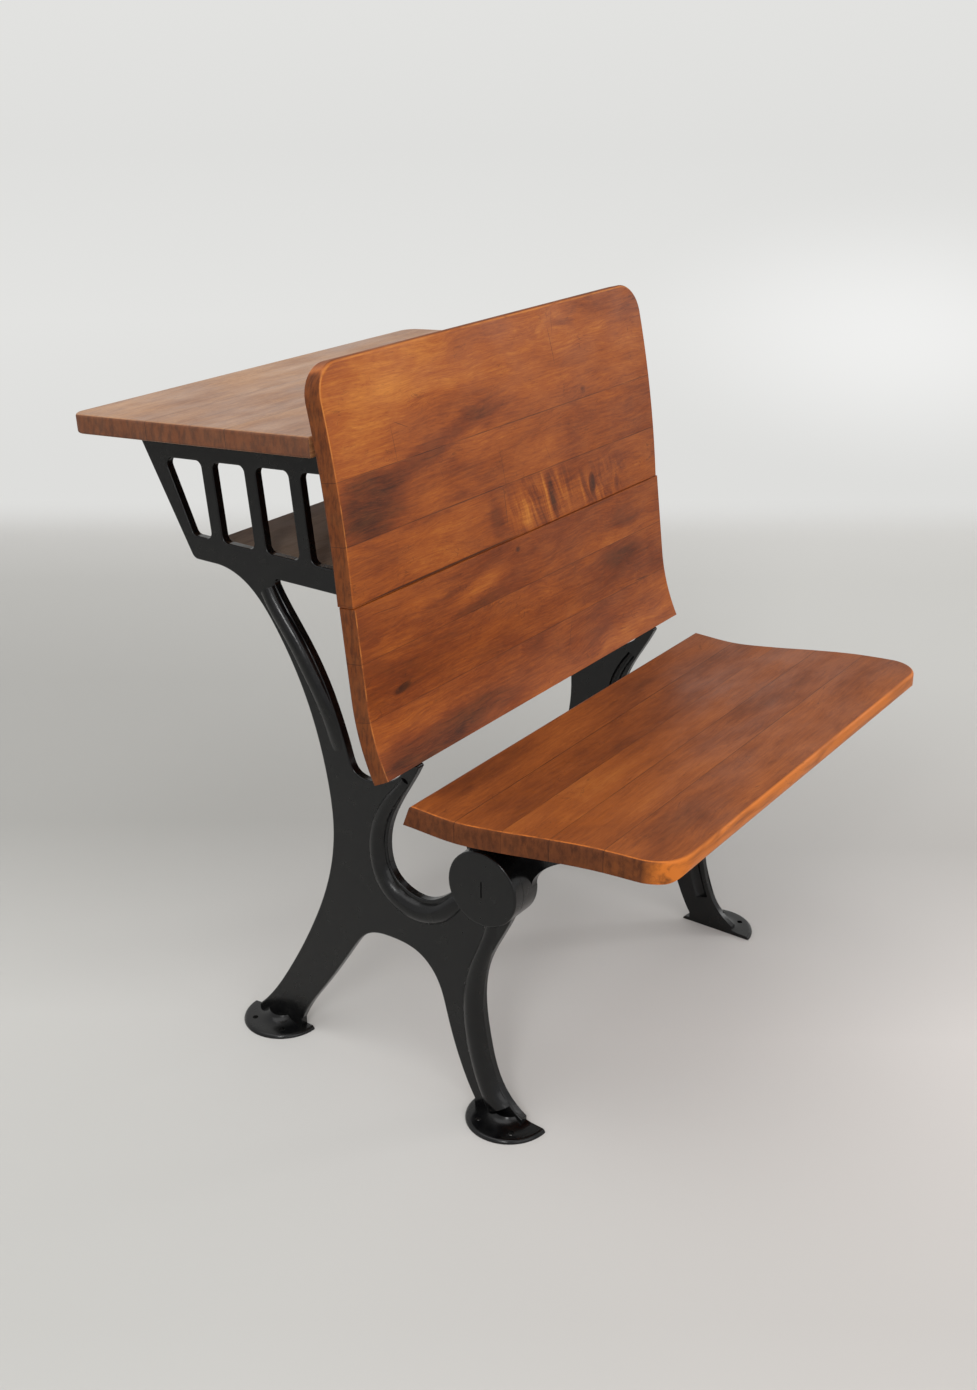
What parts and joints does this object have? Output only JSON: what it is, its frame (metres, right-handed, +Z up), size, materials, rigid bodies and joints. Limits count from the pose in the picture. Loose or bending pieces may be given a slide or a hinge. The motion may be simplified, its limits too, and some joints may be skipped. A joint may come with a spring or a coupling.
{
  "type": "school desk with folding seat",
  "caption": "Row type school desk: cast iron side standards carry a sloping desk top with a book box, a curved wooden back and a seat that folds up on hinge pins.",
  "frame": {"origin": "on the floor, in the middle between the feet", "axes": "+X along the boards to the right seen from the front of the seat, +Y from the seat to the desk top, +Z up"},
  "size_m": [0.61, 0.7816, 0.834],
  "materials": {
    "cast_iron": "black enamel, satin",
    "pin_steel": "black enamel, satin",
    "fastener_steel": "plain turned steel",
    "screw_steel": "plain steel",
    "desk_wood": "worn varnish, pale grey brown",
    "shelf_wood": "bare weathered wood",
    "back_wood": "warm varnish, golden brown",
    "seat_wood": "warm varnish, orange brown"
  },
  "bodies": {
    "stand": {"standard_left": "cast_iron", "standard_right": "cast_iron", "desk_board_1": "desk_wood", "desk_board_2": "desk_wood", "desk_board_3": "desk_wood", "shelf_board_1": "shelf_wood", "shelf_board_2": "shelf_wood", "back_upper_board_1": "back_wood", "back_upper_board_2": "back_wood", "back_upper_board_3": "back_wood", "back_lower_board_1": "back_wood", "back_lower_board_2": "back_wood", "back_lower_board_3": "back_wood", "pivot_pin_left": "pin_steel", "pivot_pin_right": "pin_steel", "pivot_nut_left": "fastener_steel", "pivot_nut_right": "fastener_steel", "pivot_washer_left": "fastener_steel", "pivot_washer_right": "fastener_steel", "desk_screws": "screw_steel", "shelf_screws": "screw_steel", "back_screws": "screw_steel"},
    "seat": {"seat_board_1": "seat_wood", "seat_board_2": "seat_wood", "seat_board_3": "seat_wood", "seat_board_4": "seat_wood", "seat_board_5": "seat_wood", "seat_arm_left": "cast_iron", "seat_arm_right": "cast_iron", "seat_screws": "screw_steel"}
  },
  "joints": [
    {"name": "seat_fold", "type": "hinge", "parent": "stand", "child": "seat", "pos_m": [0, -0.14105, 0.28801], "axis": [-1, 0, 0], "range_deg": [0, 65]}
  ]
}
